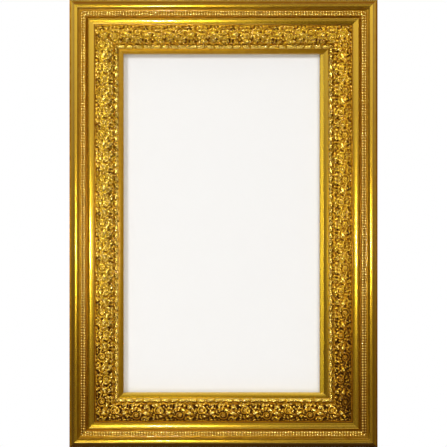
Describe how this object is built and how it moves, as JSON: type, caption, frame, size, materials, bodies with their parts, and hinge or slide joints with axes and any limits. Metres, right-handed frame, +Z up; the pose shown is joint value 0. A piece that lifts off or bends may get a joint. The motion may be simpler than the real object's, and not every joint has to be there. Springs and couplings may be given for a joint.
{
  "type": "picture frame",
  "caption": "Tall gilded picture frame with a wide mitred moulding, beaded and foliate bands, a gilt slip, glazing, boards held by turn buttons, and D-ring hangers.",
  "frame": {"origin": "centre of the frame on the wall plane, which is the back of the wall bumpers", "axes": "+X to the right seen from the front, +Y into the wall, +Z up; the front faces -Y"},
  "size_m": [0.54, 0.051, 0.785],
  "materials": {
    "gilt_moulding": "burnished gold leaf on wood",
    "gilt_ornament": "gilded pressed composition, toned in the hollows",
    "gilt_slip": "bright gold leaf on wood",
    "glazing": "clear polished",
    "mount_board": "matt white",
    "backing_board": "plain hardboard",
    "zinc_steel": "zinc plated",
    "brass_plate": "stamped, satin",
    "bumper_rubber": "matt"
  },
  "bodies": {
    "frame": {"left_stile": "gilt_moulding", "top_rail": "gilt_moulding", "right_stile": "gilt_moulding", "bottom_rail": "gilt_moulding", "bead_strip_left": "gilt_ornament", "bead_strip_top": "gilt_ornament", "bead_strip_right": "gilt_ornament", "bead_strip_bottom": "gilt_ornament", "frieze_left": "gilt_ornament", "frieze_top": "gilt_ornament", "frieze_right": "gilt_ornament", "frieze_bottom": "gilt_ornament", "leaf_strip_left": "gilt_ornament", "leaf_strip_top": "gilt_ornament", "leaf_strip_right": "gilt_ornament", "leaf_strip_bottom": "gilt_ornament", "slip_left": "gilt_slip", "slip_top": "gilt_slip", "slip_right": "gilt_slip", "slip_bottom": "gilt_slip", "glazing": "glazing", "mount_board": "mount_board", "backing_board": "backing_board", "turn_button_screws": "zinc_steel", "hanger_strap_left": "zinc_steel", "hanger_strap_right": "zinc_steel", "wall_bumpers": "bumper_rubber"},
    "turn_button_left_upper": {"turn_button_left_upper": "brass_plate"},
    "turn_button_left_lower": {"turn_button_left_lower": "brass_plate"},
    "turn_button_right_upper": {"turn_button_right_upper": "brass_plate"},
    "turn_button_right_lower": {"turn_button_right_lower": "brass_plate"},
    "turn_button_top": {"turn_button_top": "brass_plate"},
    "turn_button_bottom": {"turn_button_bottom": "brass_plate"},
    "d_ring_left": {"d_ring_left": "zinc_steel"},
    "d_ring_right": {"d_ring_right": "zinc_steel"}
  },
  "joints": [
    {"name": "turn_button_left_upper_swing", "type": "hinge", "parent": "frame", "child": "turn_button_left_upper", "pos_m": [-0.1944, -0.006, 0.216], "axis": [0, 1, 0], "continuous": true},
    {"name": "turn_button_left_lower_swing", "type": "hinge", "parent": "frame", "child": "turn_button_left_lower", "pos_m": [-0.1944, -0.006, -0.216], "axis": [0, 1, 0], "continuous": true},
    {"name": "turn_button_right_upper_swing", "type": "hinge", "parent": "frame", "child": "turn_button_right_upper", "pos_m": [0.1944, -0.006, 0.216], "axis": [0, 1, 0], "continuous": true},
    {"name": "turn_button_right_lower_swing", "type": "hinge", "parent": "frame", "child": "turn_button_right_lower", "pos_m": [0.1944, -0.006, -0.216], "axis": [0, 1, 0], "continuous": true},
    {"name": "turn_button_top_swing", "type": "hinge", "parent": "frame", "child": "turn_button_top", "pos_m": [0, -0.006, 0.3169], "axis": [0, 1, 0], "continuous": true},
    {"name": "turn_button_bottom_swing", "type": "hinge", "parent": "frame", "child": "turn_button_bottom", "pos_m": [0, -0.006, -0.3169], "axis": [0, 1, 0], "continuous": true},
    {"name": "d_ring_left_fold", "type": "hinge", "parent": "frame", "child": "d_ring_left", "pos_m": [-0.204, -0.00342, 0.1305], "axis": [0, 0, 1], "range_deg": [-4, 170]},
    {"name": "d_ring_right_fold", "type": "hinge", "parent": "frame", "child": "d_ring_right", "pos_m": [0.204, -0.00342, 0.1305], "axis": [0, 0, -1], "range_deg": [-4, 170]}
  ]
}
